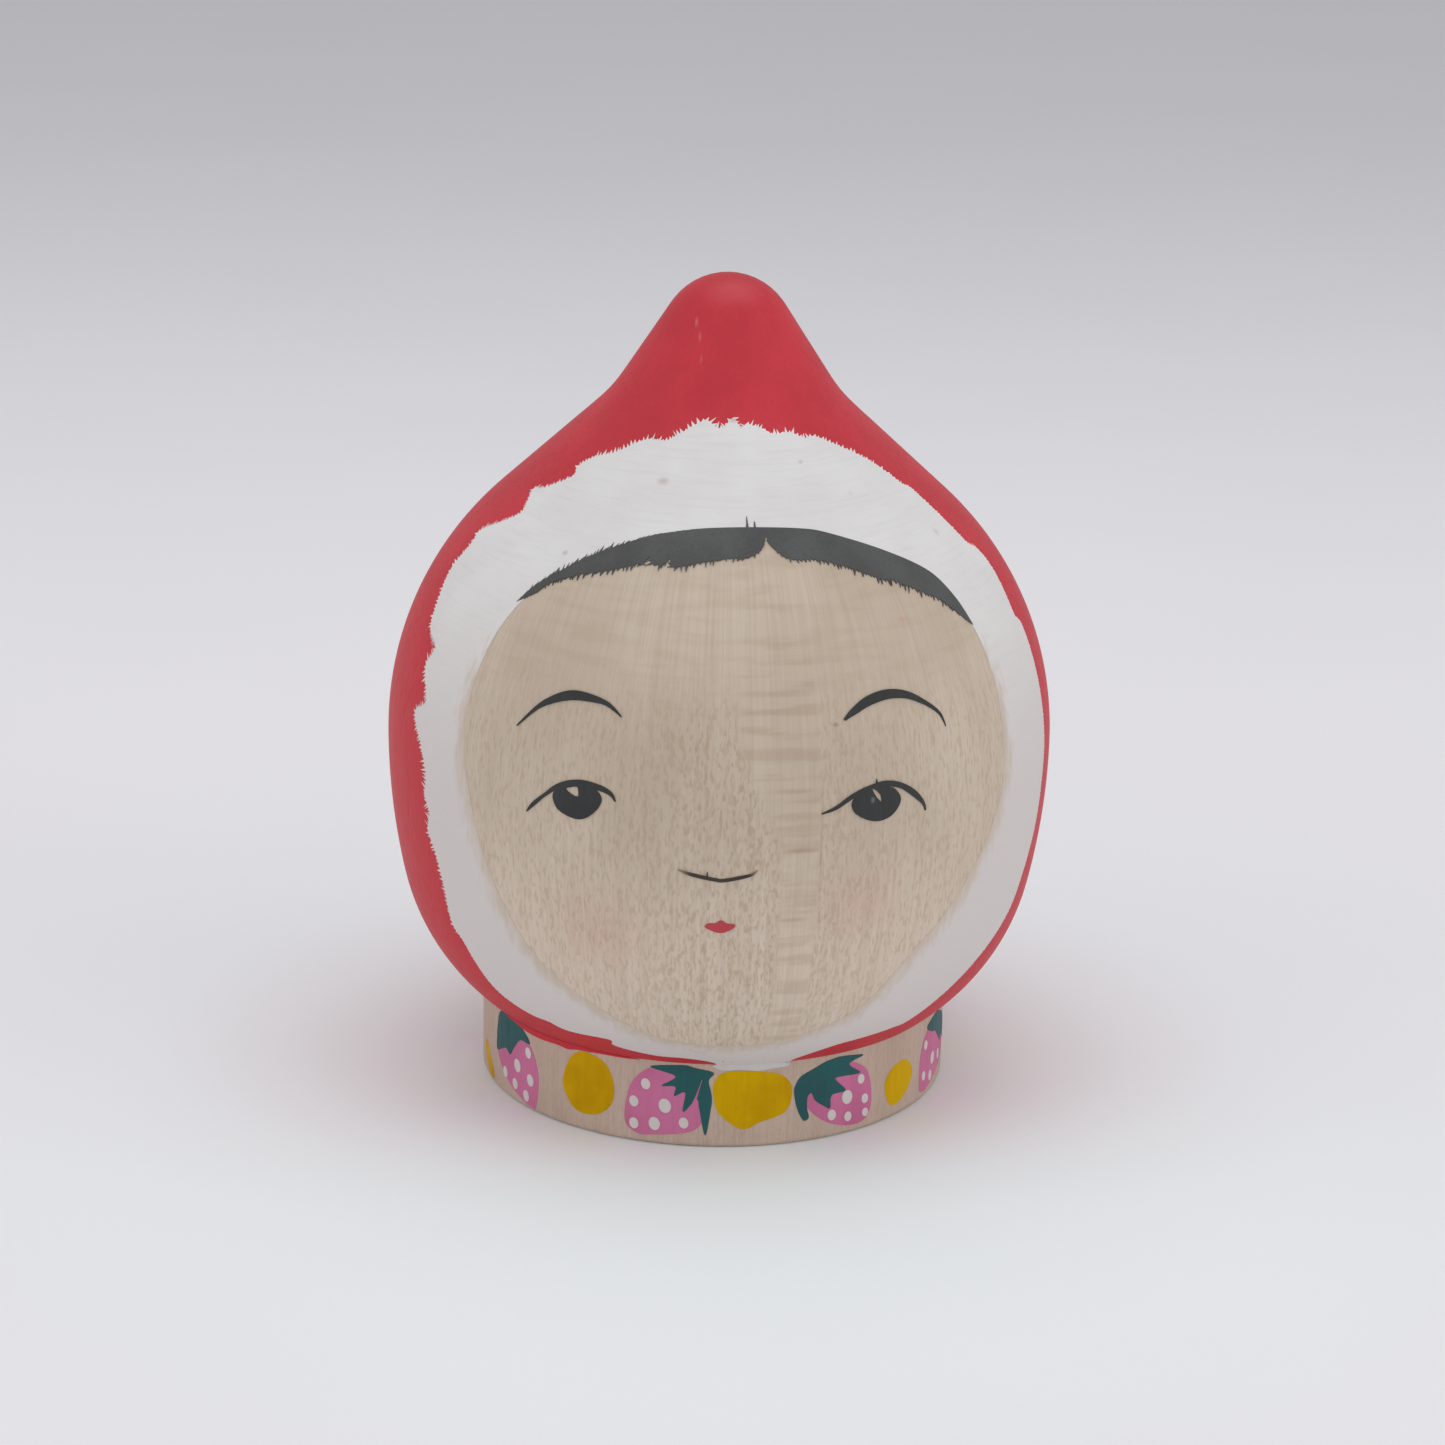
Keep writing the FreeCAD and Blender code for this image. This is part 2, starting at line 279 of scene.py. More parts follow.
def grid_points(surface, loops, spacing):
    """Evenly spread points of the surface inside the loops' box, kept a little off their edges."""
    flat = np.vstack(loops)
    low, high = flat.min(0) - spacing, flat.max(0) + spacing
    rows = []
    for ring in range(int(surface.along[-1] / spacing) + 1):
        along = ring * spacing
        count = max(1, round(2 * math.pi * float(surface.radius(along)) / spacing))
        azimuth = (np.arange(count) + 0.5 * (ring % 2)) / count * 360 - 180
        rows.append(surface.chart(azimuth, np.full(count, along)))
    points = np.vstack(rows)
    points = points[np.all((points > low) & (points < high), axis=1)]
    tree = KDTree(len(flat))
    for index, point in enumerate(flat):
        tree.insert((*point, 0.0), index)
    tree.balance()
    return [p for p in points if tree.find((*p, 0.0))[2] > EDGE_GAP * spacing]


def film(name, surface, fill, layer, slot, body, cut=(), spacing=GRID, look=None):
    """A closed film of paint over everything inside the fill loops and outside the cut loops. Its look
    is the slot's own material, unless another is named."""
    loops = [surface.chart(loop[:, 0], loop[:, 1]) for loop in [*fill, *cut]]
    corners, edges = [], []
    for loop in loops:
        first, count = len(corners), len(loop)
        corners += [Vector(p) for p in loop]
        edges += [(first + i, first + (i + 1) % count) for i in range(count)]
    corners += [Vector(p) for p in grid_points(surface, loops, spacing)]
    flat, _, faces, *_ = delaunay_2d_cdt(corners, edges, [], 0, 1e-5)
    flat = np.array([tuple(v) for v in flat])
    faces = np.array(faces)
    middles = flat[faces].mean(axis=1)
    keep = np.any([inside(middles, loop) for loop in loops[:len(fill)]], axis=0)
    for loop in loops[len(fill):]:
        keep &= ~inside(middles, loop)
    return close_film(name, surface, flat, faces[keep], layer, body, look or slot)


def close_film(name, surface, flat, faces, layer, body, look):
    """Lifts the flat faces on to the surface, and adds the underside and the edges."""
    used, faces = np.unique(faces, return_inverse=True)
    faces = faces.reshape(-1, 3)
    azimuth, along = surface.unchart(flat[used])
    top, normals = surface.place(azimuth, along, layer * LAYER + LAYER)
    under, _ = surface.place(azimuth, along, ROOT)
    count = len(used)
    sides = np.vstack((faces[:, [0, 1]], faces[:, [1, 2]], faces[:, [2, 0]]))
    known = {tuple(side) for side in sides}
    rim = [side for side in known if side[::-1] not in known]
    outward = np.cross(top[faces[:, 1]] - top[faces[:, 0]], top[faces[:, 2]] - top[faces[:, 0]])
    facing = np.einsum("ij,ij->i", outward, normals[faces[:, 0]]).sum() > 0
    upper = faces if facing else faces[:, ::-1]
    walls = [(b, a, a + count, b + count) if facing else (a, b, b + count, a + count) for a, b in rim]
    polygons = [tuple(f) for f in upper] + [tuple(f[::-1] + count) for f in upper] + walls
    mesh = bpy.data.meshes.new(name)
    mesh.from_pydata((np.vstack((top, under)) * MM).tolist(), [], [[int(i) for i in p] for p in polygons])
    mesh.polygons.foreach_set("use_smooth", [i < 2 * len(upper) for i in range(len(polygons))])
    loop_normals = [tuple(normals[i]) for f in upper for i in f]
    loop_normals += [tuple(-normals[i]) for f in upper for i in f[::-1]]
    loop_normals += [(0.0, 0.0, 0.0)] * (4 * len(walls))
    mesh.normals_split_custom_set(loop_normals)
    piece = bpy.data.objects.new(name, mesh)
    bpy.context.scene.collection.objects.link(piece)
    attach(piece, body)
    mesh.materials.append(materials[look])
    return piece


def thin_out(piece, surface, edge, reach, low, high):
    """Thins a film towards one of its edges, and stores how thin it is: 1 on the edge, 0 at reach mm
    from it. Between the heights low and high this fades out."""
    points, _ = surface.place(edge[:, 0], edge[:, 1], 0.0)
    tree = KDTree(len(points))
    for index, point in enumerate(points):
        tree.insert(point * MM, index)
    tree.balance()
    vertices = piece.data.vertices
    thin = np.array([max(0.0, 1.0 - tree.find(v.co)[2] / (reach * MM)) for v in vertices])
    places = np.array([v.co for v in vertices])
    thin *= np.clip((high - places[:, 2] / MM) / (high - low), 0.0, 1.0)
    top, under = np.split(places, 2)
    top = under + (top - under) * (1.0 - THINNING * thin[:len(top), None])
    vertices.foreach_set("co", np.vstack((top, under)).ravel())
    piece.data.attributes.new("thin", "FLOAT", "POINT").data.foreach_set("value", thin)


# ---------------------------------------------------------------- materials

class Shader:
    """Shorthand for a node material whose patterns are solid, in millimetres of the object's own space."""

    def __init__(self, name):
        self.material = bpy.data.materials.new(name)
        self.material.use_nodes = True
        self.nodes = self.material.node_tree.nodes
        self.surface = self.nodes["Principled BSDF"]
        space = self.nodes.new("ShaderNodeTexCoord")
        self.space = self.mapped(space.outputs["Object"], scale=(1 / MM, 1 / MM, 1 / MM))

    def put(self, socket, value):
        if isinstance(value, bpy.types.NodeSocket):
            self.material.node_tree.links.new(value, socket)
        else:
            socket.default_value = value

    def mapped(self, vector, scale=(1, 1, 1), turn=0.0, move=(0, 0, 0)):
        node = self.nodes.new("ShaderNodeMapping")
        self.put(node.inputs["Vector"], vector)
        node.inputs["Scale"].default_value = scale
        node.inputs["Rotation"].default_value = (0, 0, turn)
        node.inputs["Location"].default_value = move
        return node.outputs["Vector"]

    def noise(self, size, detail=2.0, roughness=0.5, vector=None, move=(0, 0, 0)):
        """Soft noise, about 0.5, whose blotches are size mm along X, Y and Z."""
        node = self.nodes.new("ShaderNodeTexNoise")
        scale = [1 / s for s in size]
        self.put(node.inputs["Vector"], self.mapped(vector or self.space, scale=scale, move=move))
        node.inputs["Scale"].default_value = 1.0
        node.inputs["Detail"].default_value = detail
        node.inputs["Roughness"].default_value = roughness
        return node.outputs[0]

    def ramp(self, value, low, high, start=0.0, end=1.0):
        """The value carried smoothly from the range low..high to start..end."""
        node = self.nodes.new("ShaderNodeMapRange")
        node.interpolation_type = "SMOOTHSTEP"
        self.put(node.inputs["Value"], value)
        node.inputs["From Min"].default_value = low
        node.inputs["From Max"].default_value = high
        node.inputs["To Min"].default_value = start
        node.inputs["To Max"].default_value = end
        return node.outputs["Result"]

    def math(self, operation, first, second=0.0):
        node = self.nodes.new("ShaderNodeMath")
        node.operation = operation
        self.put(node.inputs[0], first)
        self.put(node.inputs[1], second)
        return node.outputs[0]

    def blend(self, amount, first, second):
        """One colour carried to another."""
        node = self.nodes.new("ShaderNodeMix")
        node.data_type = "RGBA"
        colours = [socket for socket in node.inputs if socket.type == "RGBA"]
        self.put(node.inputs[0], amount)
        for socket, colour in zip(colours, (first, second)):
            self.put(socket, colour if isinstance(colour, bpy.types.NodeSocket) else (*colour, 1.0))
        return [socket for socket in node.outputs if socket.type == "RGBA"][0]

    def relief(self, height, depth):
        """Bump whose full height is depth mm."""
        node = self.nodes.new("ShaderNodeBump")
        node.inputs["Strength"].default_value = 1.0
        node.inputs["Distance"].default_value = depth * MM
        self.put(node.inputs["Height"], height)
        self.put(self.surface.inputs["Normal"], node.outputs["Normal"])

    def part(self, axis, vector=None):
        """One coordinate in mm."""
        node = self.nodes.new("ShaderNodeSeparateXYZ")
        self.put(node.inputs[0], vector or self.space)
        return node.outputs[axis]

    def vector(self, operation, *values):
        node = self.nodes.new("ShaderNodeVectorMath")
        node.operation = operation
        for socket, value in zip(node.inputs, values):
            self.put(socket, value)
        return node.outputs[0]

    def length(self, vector):
        node = self.nodes.new("ShaderNodeVectorMath")
        node.operation = "LENGTH"
        self.put(node.inputs[0], vector)
        return node.outputs["Value"]

    def wrapped(self, radius):
        """The point moved level until it is radius mm from the axis. Patterns keep their size on slopes."""
        level = self.vector("NORMALIZE", self.vector("MULTIPLY", self.space, (1, 1, 0)))
        upright = self.vector("MULTIPLY", self.space, (0, 0, 1))
        return self.vector("MULTIPLY_ADD", level, (radius, radius, 0), upright)

    def stored(self, name):
        node = self.nodes.new("ShaderNodeAttribute")
        node.attribute_name = name
        return node.outputs["Fac"]

    def mark(self, tone, surface, azimuth, height, size, colour, strength):
        """A soft-edged mark on a turned surface: size is its half-width along X, Y and Z in mm."""
        centre, _ = surface.place(np.array([azimuth]), np.atleast_1d(surface.at_height(height)), 0.0)
        scale = [1 / s for s in size]
        move = [-c / s for c, s in zip(centre[0], size)]
        distance = self.length(self.mapped(self.space, scale=scale, move=move))
        amount = self.ramp(distance, 1.0, 0.0, 0.0, strength)
        return self.blend(amount, tone, colour)


QUARTER = 13.5  # azimuth where the surface faces straight across the growth rings
WRAP = 30.0  # radius in mm on which the wood's pattern is laid out


def maple(name, pale, deep, fleck_strength=0.46, marks=(), lower=None):
    """Turned maple. Its fibres run upright. Ray flecks show as short dark dashes, boldest near the quarter,
    and at the quarter itself as a ladder of level bars."""
    shader = Shader(name)
    skin = shader.mapped(shader.wrapped(WRAP), turn=math.radians(-QUARTER))
    across = shader.part("X", skin)
    height = shader.part("Z")
    dashes = shader.ramp(shader.noise((0.26, 0.26, 0.9), detail=1.0, vector=skin), 0.48, 0.68)
    blot_noise = shader.noise((0.36, 0.36, 0.95), detail=1.0, vector=skin, move=(5, 3, 8))
    blots = shader.ramp(blot_noise, 0.52, 0.7)
    near = shader.ramp(shader.math("ABSOLUTE", shader.math("ADD", across, 4.0)), 4.0, 13.0, 1.0, 0.15)
    low_down = shader.ramp(height, 49.0, 38.0)
    left_edge = shader.math("SUBTRACT", across, shader.ramp(height, 30.0, 41.0, -2.1, -5.6))
    ladder = shader.math("MULTIPLY", shader.ramp(left_edge, 0.0, 1.2), shader.ramp(across, 2.1, 1.6))
    small = shader.math("MULTIPLY", dashes, 0.7)
    large = shader.math("MULTIPLY", blots, near)
    off_ladder = shader.math("SUBTRACT", low_down, shader.math("MULTIPLY", ladder, 0.85))
    fleck = shader.math("MULTIPLY", shader.math("MAXIMUM", small, large), off_ladder)
    fleck = shader.math("MAXIMUM", fleck, 0.0)
    bars = shader.ramp(shader.noise((7.0, 7.0, 0.9), detail=2.0, vector=skin, move=(1, 1, 4)), 0.42, 0.66)
    rungs = shader.math("MULTIPLY", ladder, shader.ramp(height, 52.0, 38.0, 0.3, 1.0))
    high_up = shader.ramp(height, 36.0, 48.0, 0.0, 0.55)
    bars = shader.math("MULTIPLY", bars, shader.math("ADD", rungs, high_up))
    fibre = shader.noise((0.25, 0.25, 9.0), detail=3.0, vector=skin)
    growth_noise = shader.noise((1.1, 1.1, 60.0), detail=2.0, vector=skin, move=(2, 6, 0))
    growth = shader.ramp(growth_noise, 0.52, 0.62)
    cloud = shader.noise((11, 11, 18), detail=3.0, vector=skin, move=(3, 7, 1))
    middle = [0.5 * (p + d) for p, d in zip(pale, deep)]
    dark = [d * share for d, share in zip(deep, (0.8, 0.67, 0.54))]
    tone = shader.blend(shader.ramp(cloud, 0.3, 0.7), pale, middle)
    # Painted light: from 36 mm down to 16 mm the wood is carried to the lower tone. The head's lower tone
    # is lighter and stands in for light bounced up from the floor on to the lower face.
    if lower:
        tone = shader.blend(shader.ramp(height, 36.0, 16.0), tone, lower)
    tone = shader.blend(shader.ramp(fibre, 0.35, 0.75, 0.0, 0.35), tone, deep)
    tone = shader.blend(shader.math("MULTIPLY", growth, 0.14), tone, deep)
    tone = shader.blend(shader.math("MULTIPLY", bars, 0.27), tone, dark)
    tone = shader.blend(shader.math("MULTIPLY", fleck, fleck_strength), tone, dark)
    for azimuth, level, size, colour, strength in marks:
        tone = shader.mark(tone, head, azimuth, level, size, colour, strength)
    shader.put(shader.surface.inputs["Base Color"], tone)
    shader.put(shader.surface.inputs["Roughness"], shader.ramp(fibre, 0.3, 0.7, 0.52, 0.64))
    shader.surface.inputs["Specular IOR Level"].default_value = 0.3
    shader.relief(shader.math("SUBTRACT", fibre, shader.math("MULTIPLY", fleck, 0.8)), 0.02)
    return shader.material


def paint(name, colour, shade, wood_shows=0.1, streaks=(0.3, 0.3, 5.0), roughness=0.5, relief=0.01,
          gloss=0.3, marks=(), bare=None, lower=None):
    """Thin matte paint: cloudy where it is laid on unevenly, streaked by the brush and the grain below.
    Where a film stores that it is thin, the bare wood's colour comes through."""
    shader = Shader(name)
    cloud = shader.noise((5, 5, 6), detail=3.0, move=(2, 5, 9))
    streak = shader.noise(streaks, detail=3.0, roughness=0.6)
    grit = shader.noise((0.12, 0.12, 0.16), detail=1.0)
    tone = shader.blend(shader.ramp(cloud, 0.3, 0.7), colour, shade)
    streaked = [c * 0.72 for c in shade]
    tone = shader.blend(shader.ramp(streak, 0.45, 0.8, 0.0, wood_shows * 2.0), tone, streaked)
    # Painted shade: from 54 mm down to 30 mm the paint is carried to the lower tone, a darker colour for
    # the underside of the head where less light reaches.
    if lower:
        tone = shader.blend(shader.ramp(shader.part("Z"), 54.0, 30.0), tone, lower)
    light = [min(1.0, c * 1.25 + 0.02) for c in colour]
    tone = shader.blend(shader.ramp(grit, 0.5, 0.85, 0.0, wood_shows), tone, light)
    if bare:
        brush = shader.noise((0.6, 0.6, 2.2), detail=3.0, move=(4, 1, 2))
        thin = shader.math("ADD", shader.stored("thin"), shader.ramp(brush, 0.3, 0.7, -0.2, 0.2))
        tone = shader.blend(shader.ramp(thin, 0.2, 1.1, 0.0, 0.92), tone, bare)
    for azimuth, height, size, dab, strength in marks:
        tone = shader.mark(tone, head, azimuth, height, size, dab, strength)
    shader.put(shader.surface.inputs["Base Color"], tone)
    rough = shader.ramp(streak, 0.3, 0.7, roughness - 0.05, roughness + 0.07)
    shader.put(shader.surface.inputs["Roughness"], rough)
    shader.surface.inputs["Specular IOR Level"].default_value = gloss
    shader.relief(shader.math("ADD", streak, shader.math("MULTIPLY", grit, 0.5)), relief)
    return shader.material


TAN = (0.40, 0.31, 0.20)
BLUSH = (0.62, 0.22, 0.20)
BARK = (0.36, 0.26, 0.18)
KNOT = (0.12, 0.09, 0.06)
SCUFF = (0.75, 0.3, 0.3)
# Painted highlight with some wear: a lighter red for the hood's tip.
TIP_SHEEN_AND_WEAR = (0.66, 0.12, 0.13)
GLINT = (0.2, 0.195, 0.18)
FADED = (0.32, 0.25, 0.17)

# A mark is an azimuth, a height, its half-widths in mm, a colour and a strength.
WOOD_MARKS = [
    (-20, 22.5, (6.0, 5.0, 5.0), BLUSH, 0.16),
    (25, 25.5, (6.0, 5.0, 5.0), BLUSH, 0.16),
    (38.1, 48.8, (0.9, 1.0, 0.3), BLUSH, 0.35),
    (12.6, 36.2, (3.0, 2.0, 0.4), BARK, 0.4),
    (14.0, 30.9, (2.0, 2.0, 0.4), BARK, 0.5),
    (13.0, 24.5, (2.0, 2.0, 0.35), BARK, 0.4),
    (17.3, 30.0, (0.15, 2.0, 12.0), BARK, 0.35),
    (20.2, 41.5, (0.5, 0.5, 0.3), KNOT, 0.4),
]
RED_MARKS = [
    (-30, 71.0, (0.22, 0.5, 1.1), SCUFF, 0.35),
    (-23, 69.9, (0.2, 0.5, 1.1), SCUFF, 0.3),
    (-18, 68.2, (0.18, 0.5, 1.0), SCUFF, 0.2),
    # Painted highlight: a lighter patch on the hood's tip where the overhead light falls, partly also worn
    # paint.
    (10, 73.6, (3.6, 3.0, 2.0), TIP_SHEEN_AND_WEAR, 0.4),
]
WHITE_MARKS = [
    (-20.3, 59.1, (0.8, 0.8, 0.5), TAN, 0.45),
    (28.7, 60.5, (0.35, 0.5, 0.3), TAN, 0.4),
    (41.6, 57.9, (0.35, 0.5, 0.3), TAN, 0.25),
    (62.9, 53.8, (0.5, 0.5, 0.9), TAN, 0.3),
    (-39.1, 53.2, (0.45, 0.5, 0.35), TAN, 0.5),
    (3.6, 63.7, (0.55, 0.6, 0.35), TAN, 0.5),
]
EYE_MARKS = [(26.2, 34.85, (0.3, 0.4, 0.42), GLINT, 0.8)]
NOSE_MARKS = [
    (-6.4, 29.2, (1.5, 1.5, 0.8), FADED, 1.0),
    (7.0, 29.3, (1.2, 1.2, 0.8), FADED, 1.0),
]
materials = {
    # The head's lower tone is lighter than its pale tone: painted light standing in for light bounced up
    # from the floor on to the lower face.
    "head_wood": maple("head_wood", (0.65, 0.545, 0.435), (0.48, 0.385, 0.29), lower=(0.70, 0.58, 0.475),
                       marks=WOOD_MARKS),
    "collar_wood": maple("collar_wood", (0.60, 0.465, 0.38), (0.44, 0.32, 0.25), fleck_strength=0.25),
    "peg_wood": maple("peg_wood", (0.56, 0.40, 0.25), (0.42, 0.28, 0.16), fleck_strength=0.2),
    # The red's lower tone is painted shade, darker towards the underside of the hood.
    "red_paint": paint("red_paint", (0.62, 0.046, 0.062), (0.55, 0.04, 0.054), wood_shows=0.08, gloss=0.15,
                       lower=(0.55, 0.036, 0.049), marks=RED_MARKS),
    # The white's lower tone is painted shade, greyer towards the chin.
    "white_paint": paint("white_paint", (0.80, 0.79, 0.775), (0.76, 0.745, 0.73), wood_shows=0.1,
                         streaks=(5.0, 5.0, 0.3), roughness=0.6, bare=(0.59, 0.485, 0.39),
                         lower=(0.67, 0.615, 0.595), marks=WHITE_MARKS),
    "thin_white": paint("thin_white", (0.62, 0.59, 0.575), (0.57, 0.53, 0.51), roughness=0.6),
    "black_paint": paint("black_paint", (0.028, 0.03, 0.03), (0.04, 0.041, 0.041), wood_shows=0.2,
                         gloss=0.25, marks=EYE_MARKS),
    "line_black": paint("line_black", (0.043, 0.037, 0.031), (0.06, 0.052, 0.043), gloss=0.2,
                        marks=NOSE_MARKS),
    # The hair's black is lighter than the eyes' black. Part of this is a painted sheen for its
    # upward-facing place under the overhead light, and part is thinner, faded paint.
    "thin_black_with_painted_sheen": paint("thin_black_with_painted_sheen", (0.10, 0.102, 0.10), (0.075, 0.076, 0.074), wood_shows=0.2,
                        gloss=0.25, streaks=(0.25, 0.25, 1.2)),
    "lip_paint": paint("lip_paint", (0.54, 0.062, 0.075), (0.46, 0.05, 0.065)),
    "pink_paint": paint("pink_paint", (0.62, 0.18, 0.34), (0.55, 0.145, 0.285), gloss=0.15),
    "green_paint": paint("green_paint", (0.018, 0.11, 0.108), (0.02, 0.087, 0.095), gloss=0.2),
    "yellow_paint": paint("yellow_paint", (0.66, 0.40, 0.0), (0.52, 0.275, 0.0), wood_shows=0.1,
                          gloss=0.06),
}
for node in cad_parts.values():
    for slot in node.material_slots:
        slot.material = materials[slot.material.name.split(".")[0]]


# ---------------------------------------------------------------- head

FUR_OUTER = [  # azimuth, height, length of the tufts
    # over the forehead to the right
    (3.5, 63.9, 0.3), (7, 63.1, 0.3), (10, 63.4, 0.35), (17, 63.0, 0.35), (21, 62.6, 0.35),
    (29, 62.6, 0.35),
    (35, 62.1, 0.35), (40, 62.1, 0.35), (47, 61.4, 0.3), (58, 59.9, 0.3), (63.5, 58.5, 0.3),
    (66.5, 57.3, 0.2),
    (69, 56.9, 0.2), (71, 54.8, 0.2), (72.5, 52.2, 0.2), (75.5, 51.4, 0.2), (76.5, 49.5, 0.15),
    (74.5, 45.9, 0.15),
    (76.5, 44.5, 0.15), (76, 39.0, 0.15),
    # down the right side and under the chin
    (75.5, 34.0, 0.15), (74.5, 30.5, 0.15), (73.5, 27.0, 0.15), (70.5, 23.0, 0.1), (67, 19.5, 0.1),
    (58, 15.6, 0.1), (46.5, 11.2, 0.05), (41, 10.6, 0.05), (31.5, 10.2, 0.05), (26.5, 9.8, 0),
    (19.5, 8.5, 0),
    (17, 7.0, 0), (3, 7.0, 0), (0.5, 8.4, 0), (-5.5, 9.0, 0), (-13, 9.1, 0.05), (-21.5, 9.8, 0.05),
    (-22, 10.6, 0), (-32, 10.6, 0.05), (-36, 11.2, 0.05), (-40, 11.4, 0.05),
    # up the left side
    (-45, 12.3, 0.1), (-48.5, 13.8, 0.1), (-52, 17.5, 0.15), (-54.5, 19.0, 0.3), (-55, 22.5, 0.42),
    (-56.5, 25.5, 0.5), (-58.5, 27.3, 0.5), (-57.5, 29.0, 0.5), (-59, 30.5, 0.5), (-58.5, 32.5, 0.5),
    (-61, 35.1, 0.5), (-64.5, 37.3, 0.42), (-61, 38.8, 0.42), (-64.5, 41.4, 0.5), (-63, 43.2, 0.42),
    (-68, 44.3, 0.42), (-70.5, 46.5, 0.42), (-73, 48.9, 0.42), (-72, 51.2, 0.42),
    # over the forehead from the left
    (-73, 52.2, 0.35), (-66, 53.7, 0.42), (-62.5, 54.8, 0.3), (-67, 56.3, 0.3), (-63, 56.6, 0.42),
    (-54.5, 58.1, 0.3), (-56, 58.8, 0.3), (-51.5, 59.8, 0.42), (-44.5, 60.4, 0.42), (-34.5, 61.7, 0.42),
    (-25, 61.9, 0.42), (-20, 62.5, 0.42), (-10, 63.6, 0.42), (-4, 63.1, 0.42), (-0.5, 63.2, 0.42),
]
FUR_INNER = [  # azimuth, height
    (5, 55.5), (34, 54.3), (48, 51.2), (55, 48.0), (57, 44.5), (57, 38.5), (56, 33.0), (51.5, 28.0),
    (43.5, 22.7), (36.5, 19.3), (30, 15.4), (25.5, 13.6), (17, 12.0), (8, 11.1), (-4, 11.2), (-13, 12.1),
    (-22, 14.6), (-31, 17.8), (-37, 21.6), (-41.5, 26.0), (-45, 31.3), (-48, 37.0), (-48.5, 41.0),
    (-47, 46.0),
    (-43, 49.7), (-37, 51.7), (-28, 53.4), (-18, 54.5), (-6, 55.3),
]
HAIR_UPPER = [  # azimuth, height, length of the strokes
    (56.3, 46.9, 0), (54.5, 49.5, 0), (50.5, 51.8, 0), (40.5, 53.9, 0), (28, 55.5, 0), (20, 56.0, 0),
    (8, 56.2, 0), (-4, 56.1, 0), (-13, 55.7, 0.05), (-19.5, 55.2, 0.1), (-28.5, 54.0, 0.3),
    (-34.5, 52.8, 0.3), (-41.5, 50.8, 0.2), (-45, 49.0, 0),
]
HAIR_LOWER_LEFT = [  # azimuth, height, length of the strokes
    (-45, 49.0, 0), (-41, 50.1, 0.1), (-39, 50.9, 0.2), (-33, 51.9, 0.3), (-26, 52.6, 0.35),
    (-20, 53.3, 0.35), (-18.5, 53.3, 0.3), (-17.5, 53.9, 0.1), (-16.5, 53.4, 0.3), (-13.5, 53.5, 0.3),
    (-12.5, 53.9, 0.1), (-11.5, 53.3, 0.3), (-6, 53.7, 0.35), (2, 54.1, 0.3), (5.5, 54.1, 0.35),
    (9.5, 54.7, 0.1), (11, 55.5, 0),
]
HAIR_LOWER_RIGHT = [  # azimuth, height, length of the strokes
    (11, 55.5, 0), (12, 54.9, 0), (16, 54.0, 0.3), (22.5, 53.8, 0.35), (29.5, 53.1, 0.4), (37, 51.9, 0.4),
    (40, 51.6, 0.45), (46.5, 50.3, 0.35), (50, 49.5, 0.3), (54, 47.9, 0.1), (56.3, 46.9, 0),
]


def held_above_seam(path, gap):
    """The path kept at least gap mm above the lower end of the head."""
    return np.column_stack((path[:, 0], np.minimum(path[:, 1], float(head.along[-1]) - gap)))


HOOD_OVERLAP = 0.9  # mm that the hood runs on under the trim
# mm that each edge stays above the lower end of the head
TRIM_GAP, HOOD_RIM_GAP, HOOD_UNDER_TRIM_GAP = 0.02, 0.06, 0.3
RIM_POINTS = 360


def paint_hood_and_trim():
    """The red hood, and the white fur round the face with its tufted outer edge."""
    points = smooth(FUR_OUTER, step=0.2)
    edge = on_surface(head, points[:, :2])
    fur = ragged(head, edge, points[:, 2], tooth=0.23, gap=0.08, lean=0.7, seed=5)
    inner = blob(head, FUR_INNER)
    trim = film("trim_paint", head, [held_above_seam(fur, TRIM_GAP)], TRIM_COAT, "white_paint", "head",
                cut=[inner])
    thin_out(trim, head, inner, reach=2.4, low=40.0, high=50.0)
    under = held_above_seam(shift(head, edge, 0, -HOOD_OVERLAP), HOOD_UNDER_TRIM_GAP)
    circle = np.linspace(-180, 180, RIM_POINTS, endpoint=False)
    foot = np.column_stack((circle, np.full(RIM_POINTS, head.along[-1])))
    rim = held_above_seam(foot, HOOD_RIM_GAP)
    film("hood_paint", head, [rim], HOOD_COAT, "red_paint", "head", cut=[under])


def paint_hair():
    """The fringe: a smooth upper edge along the trim, a parting, and fine strokes below it."""
    edge = []
    rows = ((HAIR_UPPER, -0.9, 20), (HAIR_LOWER_LEFT, -0.2, 21), (HAIR_LOWER_RIGHT, 0.9, 22))
    for row, lean, seed in rows:
        points = smooth(row, closed=False, step=0.15)
        path = on_surface(head, points[:, :2])
        tips = ragged(head, path, points[:, 2], tooth=0.22, gap=0.12, lean=lean, seed=seed, side=-1.0)
        edge += [path[:1], tips]
    # The hair takes the lighter black, which carries a painted sheen.
    film("hair_paint", head, [
        np.vstack(edge),
        stroke(head, [(6.4, 56.0, 0.3), (6.4, 56.5, 0.14), (6.4, 56.95, 0.05)]),
        stroke(head, [(8.4, 56.0, 0.25), (8.45, 56.6, 0.06)]),
    ], HAIR_COAT, "black_paint", "head", spacing=0.6, look="thin_black_with_painted_sheen")


